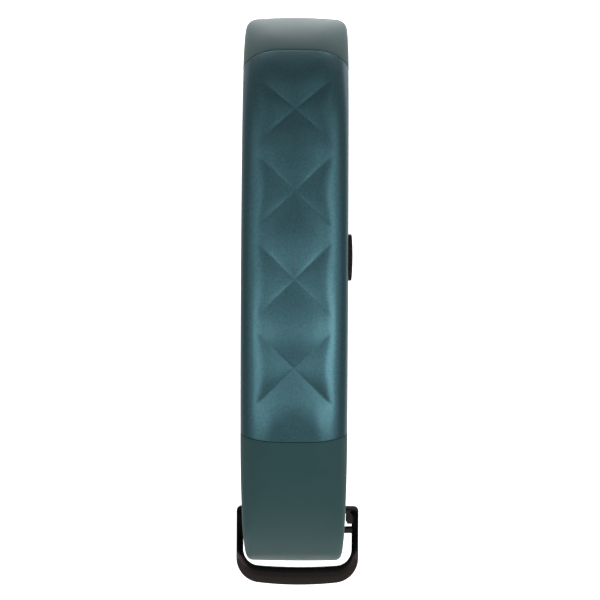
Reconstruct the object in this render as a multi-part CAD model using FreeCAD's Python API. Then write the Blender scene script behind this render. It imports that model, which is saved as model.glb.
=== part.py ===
import FreeCAD, Part
import math
import os

from FreeCAD import Vector

# Fitness tracker band, closed as it is worn: a curved tracker module with a soft strap at each end.
# The lower strap runs outside, through the metal clasp frame and on to its tail. The upper strap goes
# over the top and down the back, lies inside the lower strap, and ends in the metal lug that carries
# the clasp. Millimetres. +X is across the band, -Y is the way the tracker's cover faces, +Z is up.
# The origin is the middle of the wrist opening.
#
# Every curved piece is placed by three numbers: the turn (the direction in degrees that the outside of
# the band faces: 0 front, 90 top, 180 back, -90 bottom), the depth below the band's outer line, and X.

# ---------------------------------------------------------------- outer line of the band
FRONT_Y = -29.5            # front of the cover, from the middle of the wrist opening
FRONT_RADIUS = 48.0
FRONT_TURN = 24.0          # the front arc runs this far each way
SHOULDER_RADIUS = 21.0     # from the front arc to the top and to the bottom
END_RADIUS = 26.4          # from the top and bottom on towards the back
BACK_TURN = 135.0          # where the back arc takes over

# ---------------------------------------------------------------- tracker module
MODULE_LOW = -21.55         # turn of the seam with the lower strap
MODULE_HIGH = 51.7         # turn of the seam with the upper strap
MODULE_HALF_WIDTH = 6.1
MODULE_THICK = 9.3
MODULE_LOW_THICK = 6.6
MODULE_HIGH_THICK = 6.2
SHOULDER_ROUND = 2.7       # rounding of the cover's long edges
SKIN_ROUND = 1.5           # rounding of the long edges on the skin side
CROWN = 0.3                # how far the outside bows across the band
COVER_WALL = 0.6
HOUSING_WALL = 0.8
END_WALL_TURN = 1.4
SPLIT_DEPTH = 5.3          # the cover's rim
GASKET_THICK = 0.25

# ---------------------------------------------------------------- straps
STRAP_THICK = 2.4
INNER_STRAP_THICK = 2.2
STRAP_GAP = 0.15           # between the two straps where they lie on each other
STRAP_ROUND = 0.9
LOWER_CROWN = 0.08
UPPER_CROWN = 0.3
STRAP_HALF_WIDTH = 5.45
LOWER_THIN_TURN = -62.0    # the straps taper from the tracker's thickness down to these turns
UPPER_THIN_TURN = 102.0
TUCK_START = 110.0         # the upper strap eases inwards over this stretch, to lie under the tail
TUCK_END = 203.0
TIP_SPAN = 4.0
TIP_NARROWING = 1.6
TAIL_TURN = -153.0         # tip of the lower strap, at the back
LUG_SEAM_TURN = 264.0      # end of the upper strap, which is turn -96
FLEX_DEPTH = 1.35
FLEX_THICK = 0.3
FLEX_HALF_WIDTH = 3.0
NOTCH_PITCH = 3.6
NOTCH_COUNT = 9
NOTCH_TURN = -83.1
NOTCH_LENGTH = 1.4

# ---------------------------------------------------------------- side button
BUTTON_TURN = 4.7
BUTTON_DEPTH = 4.05
BUTTON_LENGTH = 5.35
BUTTON_HEIGHT = 1.8
BUTTON_PROUD = 0.48
BUTTON_BOW = 30.0          # radius of the key's bowed face
BUTTON_PLAY = 0.06

# ---------------------------------------------------------------- clasp
CLASP_TURN = -75.0
PIN_DEPTH = 3.3
FRAME_SHIFT = 0.42         # the frame's side play, taken up to the right
FRAME_HALF_WIDTH = 7.12
FRAME_ARM = 0.8
FRAME_DEEP = 1.5
FRAME_BELOW = 6.45         # the frame hangs upright from its pin, this far below it
FRAME_ABOVE = 2.8
FRAME_LOW_BAR = 2.05
FRAME_OPENING_ROUND = 1.9
FRAME_TOP_BAR = 0.9
FRAME_LOW_ROUND = 2.9
FRAME_LOW_BOW = 40.0       # radius of the bowed lower edge
FRAME_OPENING_BOW = 60.0
FRAME_HIGH_ROUND = 0.6
FRAME_BEVEL = 0.3          # along the opening's front edge
PIN_RADIUS = 0.42
PIN_PLAY = 0.03
BARREL_RADIUS = 0.8
LUG_HALF_WIDTH = 5.3
PAWL_PIVOT_TURN = -91.5
PAWL_PIN_RADIUS = 0.3
KEEPER_TURN = -145.0
KEEPER_HALF_TURN = 3.0
KEEPER_WALL = 0.6
KEEPER_PLAY = 0.25

# ---------------------------------------------------------------- where the arcs' centres lie
FRONT_CENTRE = (FRONT_Y + FRONT_RADIUS, 0.0)
STEP_IN = FRONT_RADIUS - SHOULDER_RADIUS
SHOULDER_CENTRE = (
    FRONT_CENTRE[0] - STEP_IN * math.cos(math.radians(FRONT_TURN)),
    STEP_IN * math.sin(math.radians(FRONT_TURN)),
)
END_CENTRE = (SHOULDER_CENTRE[0], SHOULDER_CENTRE[1] + SHOULDER_RADIUS - END_RADIUS)
BACK_STEP = END_CENTRE[1] / math.sin(math.radians(BACK_TURN))
BACK_RADIUS = END_RADIUS + BACK_STEP
BACK_CENTRE = (END_CENTRE[0] + BACK_STEP * math.cos(math.radians(BACK_TURN)), 0.0)
ARC_JOINTS = (-225, -135, -90, -24, 24, 90, 135, 225, 270)


def one_turn(turn):
    """The same direction, between -180 and 180."""
    return (turn + 180.0) % 360.0 - 180.0


def arc_at(turn):
    """Centre (y, z) and radius of the outer line's arc at a turn."""
    turn = one_turn(turn)
    side = 1.0 if turn >= 0 else -1.0
    if abs(turn) <= FRONT_TURN:
        return FRONT_CENTRE[0], 0.0, FRONT_RADIUS
    if abs(turn) <= 90:
        return SHOULDER_CENTRE[0], side * SHOULDER_CENTRE[1], SHOULDER_RADIUS
    if abs(turn) <= BACK_TURN:
        return END_CENTRE[0], side * END_CENTRE[1], END_RADIUS
    return BACK_CENTRE[0], 0.0, BACK_RADIUS


def spot(turn, depth, x=0.0):
    """The point at a turn, a depth below the outer line, and x."""
    cy, cz, radius = arc_at(turn)
    angle = math.radians(turn)
    return Vector(x, cy - (radius - depth) * math.cos(angle), cz + (radius - depth) * math.sin(angle))


def inward(turn):
    """Unit vector from the outside of the band towards the wrist."""
    angle = math.radians(turn)
    return Vector(0, math.cos(angle), -math.sin(angle))


def along(turn):
    """Unit vector along the band, towards larger turns."""
    angle = math.radians(turn)
    return Vector(0, math.sin(angle), math.cos(angle))


def further(turn, length, depth):
    """The turn reached by going a length down the band, towards smaller turns, at a depth."""
    left = length
    while True:
        radius = arc_at(turn - 0.001)[2] - depth
        ends = [j for j in ARC_JOINTS if j < turn - 0.001]
        room = math.radians(turn - max(ends)) * radius
        if left <= room:
            return turn - math.degrees(left / radius)
        left -= room
        turn = float(max(ends))


def ease(share):
    """Smooth step from 0 to 1."""
    share = min(1.0, max(0.0, share))
    return share * share * (3 - 2 * share)


# ---------------------------------------------------------------- shape helpers
def arcs(low, high, depth):
    """Edges along the band at one depth, one for each arc of the outer line."""
    stops = [low] + [j for j in ARC_JOINTS if low < j < high] + [high]
    return [
        Part.Arc(spot(a, depth), spot((a + b) / 2.0, depth), spot(b, depth)).toShape()
        for a, b in zip(stops, stops[1:])
    ]


def arc_block(low, high, outer, inner, x0, x1):
    """A block that follows the band from one turn to another, between two depths and two x."""
    edges = arcs(low, high, outer) + arcs(low, high, inner)
    edges.append(Part.makeLine(spot(low, outer), spot(low, inner)))
    edges.append(Part.makeLine(spot(high, outer), spot(high, inner)))
    face = Part.Face(Part.Wire(Part.__sortEdges__(edges)))
    face.translate(Vector(x0, 0, 0))
    return face.extrude(Vector(x1 - x0, 0, 0))


def radial_pin(turn, x, depth0, depth1, radius):
    """A round pin along the inward direction at a turn."""
    return Part.makeCylinder(radius, depth1 - depth0, spot(turn, depth0, x), inward(turn))


def cross_pin(turn, depth, x0, x1, radius):
    """A round pin across the band."""
    return Part.makeCylinder(radius, x1 - x0, spot(turn, depth, x0), Vector(1, 0, 0))


def section(turn, shape):
    """Closed wire of the band's cross-section at a turn. shape is (outer depth, inner depth,
    half width, outer rounding, skin rounding, crown)."""
    outer, inner, half, top, low, crown = shape
    cut = 1 - math.sqrt(0.5)

    def at(x, depth):
        return spot(turn, depth, x)

    edge = outer + crown
    pieces = [Part.Arc(at(top - half, edge), at(0, outer), at(half - top, edge))]
    for side in (1, -1):
        pieces.append(Part.Arc(
            at(side * (half - top), edge),
            at(side * (half - top * cut), edge + top * cut),
            at(side * half, edge + top)))
        pieces.append(Part.LineSegment(at(side * half, edge + top), at(side * half, inner - low)))
        pieces.append(Part.Arc(
            at(side * half, inner - low),
            at(side * (half - low * cut), inner - low * cut),
            at(side * (half - low), inner)))
    pieces.append(Part.LineSegment(at(half - low, inner), at(low - half, inner)))
    return Part.Wire(Part.__sortEdges__([p.toShape() for p in pieces]))


def loft(turns, shape_at):
    """Solid through the cross-sections at the given turns."""
    return Part.makeLoft([section(t, shape_at(t)) for t in turns], True, False)


def steps(low, high, count):
    """Evenly spaced turns, both ends included."""
    return [low + (high - low) * i / count for i in range(count + 1)]


def pill(turn, depth, length, height, x0, x1):
    """A stadium-shaped block in the side of the band, its length along the band."""
    radius = height / 2.0
    reach = along(turn) * (length / 2.0 - radius)
    rise = inward(turn) * radius
    mid = spot(turn, depth, x0)
    tip = along(turn) * radius
    edges = [
        Part.makeLine(mid - reach - rise, mid + reach - rise),
        Part.Arc(mid + reach - rise, mid + reach + tip, mid + reach + rise).toShape(),
        Part.makeLine(mid + reach + rise, mid - reach + rise),
        Part.Arc(mid - reach + rise, mid - reach - tip, mid - reach - rise).toShape(),
    ]
    return Part.Face(Part.Wire(edges)).extrude(Vector(x1 - x0, 0, 0))


def save(name, shape):
    """Writes one node, after a check that it is closed solids."""
    shape = shape.removeSplitter() if len(shape.Solids) == 1 else shape
    if not shape.Solids or not shape.isValid():
        raise ValueError(name + " is not a valid solid")
    keep = shape.Solids[0] if len(shape.Solids) == 1 else Part.makeCompound(shape.Solids)
    keep.exportStep(os.path.join("parts", name + ".step"))
    print("%-22s %2d solid(s) %9.3f mm3" % (name, len(shape.Solids), shape.Volume))


# ---------------------------------------------------------------- cross-sections along the band
def module_inner(turn):
    """Depth of the tracker's skin side: thickest in the middle, level where it meets the straps."""
    middle = (MODULE_LOW + MODULE_HIGH) / 2.0
    if turn < middle:
        share, end = (turn - MODULE_LOW) / (middle - MODULE_LOW), MODULE_LOW_THICK
    else:
        share, end = (MODULE_HIGH - turn) / (MODULE_HIGH - middle), MODULE_HIGH_THICK
    return end + (MODULE_THICK - end) * ease(share)


def module_shape(turn):
    return 0.0, module_inner(turn), MODULE_HALF_WIDTH, SHOULDER_ROUND, SKIN_ROUND, CROWN


def cavity_shape(turn):
    return (
        COVER_WALL, module_inner(turn) - HOUSING_WALL, MODULE_HALF_WIDTH - COVER_WALL,
        SHOULDER_ROUND - COVER_WALL, SKIN_ROUND - COVER_WALL, CROWN)


def strap_shape(turn, root, thin, thick_root, outer, thickness, crown):
    """Cross-section of a strap: the module's at the root turn, the thin strap's from the thin turn."""
    share = ease((turn - root) / (thin - root))
    slow = ease((turn - root) / (2.2 * (thin - root)))
    half = MODULE_HALF_WIDTH + (STRAP_HALF_WIDTH - MODULE_HALF_WIDTH) * slow
    thick = thick_root + (thickness - thick_root) * share
    top = SHOULDER_ROUND + (STRAP_ROUND - SHOULDER_ROUND) * share
    low = SKIN_ROUND + (STRAP_ROUND - 0.1 - SKIN_ROUND) * share
    return outer, outer + thick, half, top, low, CROWN + (crown - CROWN) * share


def lower_shape(turn):
    shape = strap_shape(
        turn, MODULE_LOW, LOWER_THIN_TURN, MODULE_LOW_THICK, 0.0, STRAP_THICK, LOWER_CROWN)
    narrowing = TIP_NARROWING * ease((TAIL_TURN + TIP_SPAN - turn) / TIP_SPAN)
    return shape[:2] + (shape[2] - narrowing,) + shape[3:]


def upper_shape(turn):
    outer = (STRAP_THICK + STRAP_GAP) * ease((turn - TUCK_START) / (TUCK_END - TUCK_START))
    return strap_shape(
        turn, MODULE_HIGH, UPPER_THIN_TURN, MODULE_HIGH_THICK, outer, INNER_STRAP_THICK, UPPER_CROWN)


# ---------------------------------------------------------------- pieces let into the straps
def anchor(low, high):
    """Steel plate that ties a strap's root to the chassis."""
    return arc_block(low, high, 3.4, 4.1, -4.0, 4.0)


def electrode(turn, skin_depth, x_half=3.4, length=4.4, proud=0.35, post_from=FLEX_DEPTH + FLEX_THICK):
    """Stainless skin pad with a post down to the flex."""
    half_turn = math.degrees(length / 2.0 / (arc_at(turn)[2] - skin_depth))
    pad = arc_block(turn - half_turn, turn + half_turn, skin_depth - 0.55, skin_depth + proud, -x_half, x_half)
    corners = [e for e in pad.Edges if abs(e.tangentAt(e.FirstParameter).dot(inward(turn))) > 0.9]
    pad = pad.makeFillet(0.9, corners)
    return pad.fuse(radial_pin(turn, 0, post_from, skin_depth - 0.4, 0.6))


UPPER_ANCHOR = anchor(42.8, 60.2)
LOWER_ANCHOR = anchor(-30.0, -16.8)
UPPER_FLEX = arc_block(47.1, 103.0, FLEX_DEPTH, FLEX_DEPTH + FLEX_THICK, -FLEX_HALF_WIDTH, FLEX_HALF_WIDTH)
LOWER_FLEX = arc_block(-54.5, -19.6, FLEX_DEPTH, FLEX_DEPTH + FLEX_THICK, -FLEX_HALF_WIDTH, FLEX_HALF_WIDTH)
UPPER_PADS = [electrode(t, upper_shape(t)[1]) for t in (76.0, 97.0)]
LOWER_PADS = [electrode(t, lower_shape(t)[1]) for t in (-33.5, -52.0)]
CENTRE_PAD = electrode(2.0, module_inner(2.0), 3.2, 4.0, 0.35, module_inner(2.0) - HOUSING_WALL - 0.2)


def charging_contacts():
    """Four gold pins in a row through the housing."""
    depth = module_inner(33.0)
    return [radial_pin(33.0, x, depth - 1.1, depth - 0.05, 0.6) for x in (-3.3, -1.1, 1.1, 3.3)]


CONTACTS = charging_contacts()


# ---------------------------------------------------------------- tracker shells
def button_hole():
    return pill(BUTTON_TURN, BUTTON_DEPTH, BUTTON_LENGTH + 2 * BUTTON_PLAY, BUTTON_HEIGHT + 2 * BUTTON_PLAY,
                MODULE_HALF_WIDTH - COVER_WALL - 0.5, MODULE_HALF_WIDTH + 1.0)


def module_shells():
    """The cover, the gasket and the rear housing, cut from one hollow body."""
    body = loft(steps(MODULE_LOW, MODULE_HIGH, 14), module_shape)
    cavity = loft(steps(MODULE_LOW + END_WALL_TURN, MODULE_HIGH - 2 * END_WALL_TURN, 14), cavity_shape)
    shell = body.cut(cavity)
    for let_in in (UPPER_ANCHOR, LOWER_ANCHOR, UPPER_FLEX, LOWER_FLEX):
        shell = shell.cut(let_in)
    low, high, wide = MODULE_LOW - 3, MODULE_HIGH + 3, MODULE_HALF_WIDTH + 2
    cover = shell.common(arc_block(low, high, -2.0, SPLIT_DEPTH, -wide, wide))
    gasket = shell.common(arc_block(low, high, SPLIT_DEPTH, SPLIT_DEPTH + GASKET_THICK, -wide, wide))
    housing = shell.common(arc_block(low, high, SPLIT_DEPTH + GASKET_THICK, MODULE_THICK + 2, -wide, wide))
    cover = cover.cut(button_hole())
    housing = housing.cut(CENTRE_PAD)
    for contact in CONTACTS:
        housing = housing.cut(contact)
    save("top_cover", cover)
    save("cover_gasket", gasket)
    save("rear_housing", housing)
    save("centre_electrode", CENTRE_PAD)
    save("charging_contacts", Part.makeCompound(CONTACTS))


# ---------------------------------------------------------------- inside the tracker
BOARD_TOP = 2.7
BOARD_UNDER = 3.4
CHASSIS_TOP = 4.25
CHASSIS_UNDER = 4.75


def inside_parts():
    board = arc_block(-16.5, 40.0, BOARD_TOP, BOARD_UNDER, -4.3, 4.3)
    save("main_board", board)
    save("processor_chip", arc_block(-4.0, 1.0, BOARD_TOP - 0.9, BOARD_TOP, -2.2, 2.2))
    save("radio_module", arc_block(13.0, 20.0, BOARD_TOP - 1.1, BOARD_TOP, -3.2, 3.2))
    save("motion_sensor", arc_block(-9.5, -7.0, BOARD_TOP - 0.8, BOARD_TOP, -1.2, 1.2))
    save("skin_sensor_chip", arc_block(-14.5, -11.0, BOARD_TOP - 0.7, BOARD_TOP, -1.6, 1.6))
    save("memory_chip", arc_block(24.5, 31.0, BOARD_TOP - 0.8, BOARD_TOP, -1.8, 1.8))
    leds = [arc_block(t - 0.6, t + 0.6, BOARD_TOP - 0.5, BOARD_TOP, -0.5, 0.5) for t in (2.5, 5.0, 7.5)]
    save("status_leds", Part.makeCompound(leds))
    save("light_guide", arc_block(1.6, 8.4, COVER_WALL + CROWN + 0.05, BOARD_TOP - 0.6, -1.3, 1.3))
    antenna = arc_block(34.0, 46.0, 1.3, 1.5, -3.6, 3.6)
    slots = [arc_block(35.5, 47.0, 1.2, 1.6, x - 0.25, x + 0.25) for x in (-1.8, 1.8)]
    for slot in slots:
        antenna = antenna.cut(slot)
    save("antenna", antenna)
    save("antenna_carrier", arc_block(36.0, 44.5, 1.5, BOARD_TOP - 0.05, -3.6, 3.6))

    chassis = arc_block(-19.4, 47.0, CHASSIS_TOP, CHASSIS_UNDER, -4.6, 4.6)
    rails = [arc_block(-1.2, 26.5, CHASSIS_UNDER, 6.4, x, x + 0.35) for x in (-4.6, 4.25)]
    end_rib = [arc_block(t, t + 0.5, CHASSIS_UNDER, 6.4, -4.6, 4.6) for t in (-1.2, 26.5)]
    posts = [radial_pin(t, x, BOARD_UNDER, CHASSIS_TOP + 0.1, 0.8) for t in (-13.0, 36.0) for x in (-2.7, 2.7)]
    for piece in rails + end_rib + posts:
        chassis = chassis.fuse(piece)
    holes = [radial_pin(t, x, 2.0, 5.5, 0.36) for t, x in screw_places()]
    switch_room = arc_block(BUTTON_TURN - 2.4, BUTTON_TURN + 2.4, CHASSIS_TOP - 0.1, 5.0, 4.2, 5.0)
    for cutter in holes + [switch_room]:
        chassis = chassis.cut(cutter)
    save("chassis", chassis)
    save("battery", arc_block(-0.5, 26.2, CHASSIS_UNDER + 0.1, 7.1, -4.1, 4.1))
    save("vibration_motor", radial_pin(-5.2, 0, CHASSIS_UNDER + 0.05, 6.35, 2.6))
    magnets = [radial_pin(37.5, x, CHASSIS_UNDER + 0.1, 5.8, 1.3) for x in (-2.4, 2.4)]
    save("charge_magnets", Part.makeCompound(magnets))
    save("contact_flex", arc_block(28.0, 35.0, 6.34, 6.54, -3.8, 3.8))


def screw_places():
    return [(t, x) for t in (45.1, -18.2) for x in (-2.7, 2.7)]


def screw(turn, x):
    """Cross-head screw that holds an anchor plate down on the chassis."""
    head = radial_pin(turn, x, 2.95, 3.4, 0.62)
    shank = radial_pin(turn, x, 3.4, CHASSIS_UNDER + 0.3, 0.36)
    cross = []
    for direction in (Vector(1, 0, 0), along(turn)):
        other = direction.cross(inward(turn))
        start = spot(turn, 2.9, x) - direction * 0.38 - other * 0.07
        edges = Part.makePolygon([
            start, start + direction * 0.76, start + direction * 0.76 + other * 0.14,
            start + other * 0.14, start])
        cross.append(Part.Face(edges).extrude(inward(turn) * 0.25))
    return head.fuse(shank).cut(cross[0]).cut(cross[1])


def anchors_and_screws():
    """The anchor plates with their screw holes, and the four screws."""
    for name, plate, places in (
            ("upper_anchor", UPPER_ANCHOR, screw_places()[:2]), ("lower_anchor", LOWER_ANCHOR, screw_places()[2:])):
        for turn, x in places:
            plate = plate.cut(radial_pin(turn, x, 3.0, 4.5, 0.36))
        save(name, plate)
    save("anchor_screws", Part.makeCompound([screw(t, x) for t, x in screw_places()]))


# ---------------------------------------------------------------- side button
def side_button():
    """The key, its seal and its switch. The key is held by a flange inside the cover's wall."""
    wall = MODULE_HALF_WIDTH - COVER_WALL
    face = MODULE_HALF_WIDTH + BUTTON_PROUD
    key = pill(BUTTON_TURN, BUTTON_DEPTH, BUTTON_LENGTH, BUTTON_HEIGHT, wall - 0.15, face)
    bow = spot(BUTTON_TURN, BUTTON_DEPTH - BUTTON_HEIGHT, face - BUTTON_BOW)
    key = key.common(Part.makeCylinder(BUTTON_BOW, 2 * BUTTON_HEIGHT, bow, inward(BUTTON_TURN)))
    rim = [e for e in key.Edges if all(v.X > MODULE_HALF_WIDTH + 0.1 for v in e.Vertexes)
           and e.BoundBox.XLength < 0.3]
    key = key.makeFillet(0.16, rim)
    key = key.fuse(pill(BUTTON_TURN, BUTTON_DEPTH, BUTTON_LENGTH + 0.5, BUTTON_HEIGHT + 0.5, wall - 0.45, wall - 0.15))
    key = key.fuse(cross_pin(BUTTON_TURN, BUTTON_DEPTH, wall - 0.47, wall - 0.4, 0.5))
    save("side_button", key)
    seal = pill(BUTTON_TURN, BUTTON_DEPTH, BUTTON_LENGTH + 0.5, BUTTON_HEIGHT + 0.5, wall - 0.14, wall - 0.01)
    seal = seal.cut(pill(BUTTON_TURN, BUTTON_DEPTH, BUTTON_LENGTH + 0.12, BUTTON_HEIGHT + 0.12, wall - 0.3, wall + 0.3))
    save("button_seal", seal)
    base = pill(BUTTON_TURN, BUTTON_DEPTH, 3.2, 1.3, 4.3, 4.55)
    dome = cross_pin(BUTTON_TURN, BUTTON_DEPTH, 4.55, 4.75, 0.65)
    top = [e for e in dome.Edges if e.BoundBox.XMin > 4.74]
    save("button_switch", base.fuse(dome.makeFillet(0.15, top)))


# ---------------------------------------------------------------- straps
def notches():
    """Size notches in the lower strap's skin side, which the pawl's tooth drops into."""
    made = []
    turn = NOTCH_TURN
    for _ in range(NOTCH_COUNT):
        half_turn = math.degrees(NOTCH_LENGTH / 2.0 / (arc_at(turn)[2] - STRAP_THICK))
        made.append(arc_block(turn - half_turn, turn + half_turn, 1.5, STRAP_THICK + 0.5, -1.7, 1.7))
        turn = further(turn, NOTCH_PITCH, STRAP_THICK)
    return made


def straps():
    lower = loft(steps(TAIL_TURN, -62.0, 13) + steps(-58.0, MODULE_LOW, 8), lower_shape)
    for cutter in notches() + LOWER_PADS + [LOWER_ANCHOR, LOWER_FLEX]:
        lower = lower.cut(cutter)
    save("lower_strap", lower)
    upper = loft(steps(MODULE_HIGH, 102.0, 8) + steps(110.0, LUG_SEAM_TURN, 20), upper_shape)
    for cutter in UPPER_PADS + [UPPER_ANCHOR, UPPER_FLEX, lug_tongue()] + rivets():
        upper = upper.cut(cutter)
    save("upper_strap", upper)
    save("upper_flex", UPPER_FLEX)
    save("lower_flex", LOWER_FLEX)
    for name, pad in zip(("upper_electrode_a", "upper_electrode_b"), UPPER_PADS):
        save(name, pad)
    for name, pad in zip(("lower_electrode_a", "lower_electrode_b"), LOWER_PADS):
        save(name, pad)


# ---------------------------------------------------------------- clasp
def lug_tongue():
    return arc_block(-109.0, -96.0, 3.3, 3.9, -3.6, 3.6)


def rivets():
    """Two rivets through the upper strap's end and the lug's tongue, flush with the skin side."""
    return [radial_pin(-103.0, x, 2.85, 4.75, 0.55) for x in (-2.2, 2.2)]


def clasp_lug():
    """Barrel for the clasp pin, a plate with the pawl's slot, and a tongue into the upper strap."""
    lug = arc_block(-96.0, -76.2, STRAP_THICK + STRAP_GAP, 4.05, -LUG_HALF_WIDTH, LUG_HALF_WIDTH)
    lug = lug.fuse(cross_pin(CLASP_TURN, PIN_DEPTH, -LUG_HALF_WIDTH, LUG_HALF_WIDTH, BARREL_RADIUS))
    lug = lug.fuse(lug_tongue())
    lug = lug.cut(cross_pin(CLASP_TURN, PIN_DEPTH, -9, 9, PIN_RADIUS + PIN_PLAY))
    lug = lug.cut(arc_block(-94.2, -79.6, 2.0, 5.0, -1.45, 2.3))
    lug = lug.cut(cross_pin(PAWL_PIVOT_TURN, PIN_DEPTH, -3.2, 3.6, PAWL_PIN_RADIUS))
    for rivet in rivets():
        lug = lug.cut(rivet)
    save("clasp_lug", lug)
    save("lug_rivets", Part.makeCompound(rivets()))


def pawl():
    """Size pawl: a tooth that locks in a notch, a boss on the pawl pin, and a lip to lift it by."""
    lever = arc_block(-92.6, -81.4, 2.75, 3.95, -1.3, 1.3)
    lever = lever.fuse(arc_block(-84.5, -82.0, 1.75, 2.9, -1.3, 1.3))
    lever = lever.fuse(arc_block(-83.2, -81.4, 3.8, 4.55, -1.3, 1.3))
    lever = lever.fuse(cross_pin(PAWL_PIVOT_TURN, PIN_DEPTH, -1.3, 1.3, 0.72))
    lever = lever.cut(cross_pin(PAWL_PIVOT_TURN, PIN_DEPTH, -3, 3, PAWL_PIN_RADIUS + PIN_PLAY))
    save("size_pawl", lever)
    save("pawl_pin", cross_pin(PAWL_PIVOT_TURN, PIN_DEPTH, -3.2, 3.6, PAWL_PIN_RADIUS))
    turns, wire, radius = 3, 0.09, 0.46
    pitch = 0.22
    helix = Part.makeHelix(pitch, pitch * turns, radius)
    profile = Part.Wire(Part.makeCircle(wire, Vector(radius, 0, 0), Vector(0, 1, 0)))
    spring = Part.Wire(helix.Edges).makePipeShell([profile], True, True)
    spring.rotate(Vector(0, 0, 0), Vector(0, 1, 0), 90)
    spring.translate(spot(PAWL_PIVOT_TURN, PIN_DEPTH, 1.3 + 0.14))
    save("pawl_spring", spring)


def frame_point(x, height):
    """A point in the clasp frame's middle plane, upright through the pin."""
    return spot(CLASP_TURN, PIN_DEPTH, x + FRAME_SHIFT) + Vector(0, 0, height)


def frame_outline(half, low, high, low_round, high_round, bow):
    """Face of a rounded rectangle in the frame's plane. Its lower edge is a wide arc that runs into
    the lower corners, and each end has its own rounding."""
    cut = 1 - math.sqrt(0.5)
    reach = half - low_round
    lean = math.asin(reach / (bow - low_round))
    corner_height = low + bow - (bow - low_round) * math.cos(lean)
    middle_lean = (math.pi / 2 + lean) / 2.0

    def on_corner(side, angle):
        return frame_point(side * (reach + low_round * math.sin(angle)), corner_height - low_round * math.cos(angle))

    edges = [Part.makeLine(frame_point(half - high_round, high), frame_point(high_round - half, high))]
    for side in (1, -1):
        edges.append(Part.Arc(
            on_corner(side, lean), on_corner(side, middle_lean), on_corner(side, math.pi / 2)).toShape())
        edges.append(Part.makeLine(on_corner(side, math.pi / 2), frame_point(side * half, high - high_round)))
        edges.append(Part.Arc(
            frame_point(side * half, high - high_round),
            frame_point(side * (half - high_round * cut), high - high_round * cut),
            frame_point(side * (half - high_round), high)).toShape())
    edges.append(Part.Arc(on_corner(-1, lean), frame_point(0, low), on_corner(1, lean)).toShape())
    return Part.Face(Part.Wire(Part.__sortEdges__(edges)))


def frame_hook():
    """Small hook that hangs from the top bar beside the right arm, above the pin."""
    arm = FRAME_HALF_WIDTH - FRAME_ARM
    corners = [(0.3, 2.0), (-0.68, 2.0), (-0.7, 1.1), (-0.5, 0.7), (-0.05, 0.68), (0.3, 0.9), (0.3, 2.0)]
    hook = Part.Face(Part.makePolygon([frame_point(arm + x, height) for x, height in corners]))
    hook.translate(Vector(0, -0.45, 0))
    return hook.extrude(Vector(0, 0.9, 0))


def clasp_frame():
    """The frame that the lower strap runs through, with the pin across it."""
    push = Vector(0, FRAME_DEEP, 0)
    outside = frame_outline(
        FRAME_HALF_WIDTH, -FRAME_BELOW, FRAME_ABOVE, FRAME_LOW_ROUND, FRAME_HIGH_ROUND, FRAME_LOW_BOW)
    opening = frame_outline(
        FRAME_HALF_WIDTH - FRAME_ARM, FRAME_LOW_BAR - FRAME_BELOW, FRAME_ABOVE - FRAME_TOP_BAR,
        FRAME_OPENING_ROUND, 0.5, FRAME_OPENING_BOW)
    outside.translate(push * -0.5)
    opening.translate(push * -0.5)
    front = outside.BoundBox.YMin
    block = outside.extrude(push)
    edges = [e for e in block.Edges if e.BoundBox.YLength < 1e-4]
    frame = block.makeFillet(0.2, edges).cut(opening.extrude(push))
    inside = FRAME_HALF_WIDTH - FRAME_ARM + 0.01
    rim = [
        edge for edge in frame.Edges
        if abs(edge.BoundBox.YMin - front) < 1e-4 and abs(edge.BoundBox.YMax - front) < 1e-4
        and abs(edge.CenterOfMass.x - FRAME_SHIFT) < inside
        and -FRAME_BELOW + FRAME_LOW_BAR - 0.01 < edge.CenterOfMass.z - frame_point(0, 0).z
        and edge.CenterOfMass.z - frame_point(0, 0).z < FRAME_ABOVE - FRAME_TOP_BAR + 0.01
    ]
    frame = frame.makeChamfer(FRAME_BEVEL, rim)
    frame = frame.fuse(frame_hook())
    reach = FRAME_HALF_WIDTH - 0.25
    pin = cross_pin(CLASP_TURN, PIN_DEPTH, FRAME_SHIFT - reach, FRAME_SHIFT + reach, PIN_RADIUS)
    save("clasp_frame", frame.cut(pin))
    save("clasp_pin", pin)


def tail_keeper():
    """Loop round both straps that holds the tail down and slides along the back arc."""
    low, high = KEEPER_TURN - KEEPER_HALF_TURN, KEEPER_TURN + KEEPER_HALF_TURN
    inner_skin = STRAP_THICK + STRAP_GAP + INNER_STRAP_THICK
    hole = STRAP_HALF_WIDTH + KEEPER_PLAY
    half = hole + KEEPER_WALL
    out = KEEPER_PLAY + 0.8
    loop = arc_block(low, high, -out, inner_skin + out, -half, half)
    corners = [e for e in loop.Edges if min(abs(v.X) for v in e.Vertexes) > hole
               and abs(e.tangentAt(e.FirstParameter).x) < 0.1
               and abs(e.tangentAt(e.FirstParameter).dot(inward(KEEPER_TURN))) < 0.3]
    loop = loop.makeFillet(0.7, corners)
    loop = loop.cut(arc_block(low - 1, high + 1, -KEEPER_PLAY, inner_skin + KEEPER_PLAY, -hole, hole))
    save("tail_keeper", loop)


def main():
    os.makedirs("parts", exist_ok=True)
    module_shells()
    inside_parts()
    anchors_and_screws()
    side_button()
    straps()
    clasp_lug()
    pawl()
    clasp_frame()
    tail_keeper()


main()
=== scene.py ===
import math

import bpy
import numpy as np
from mathutils import Matrix, Vector


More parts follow.
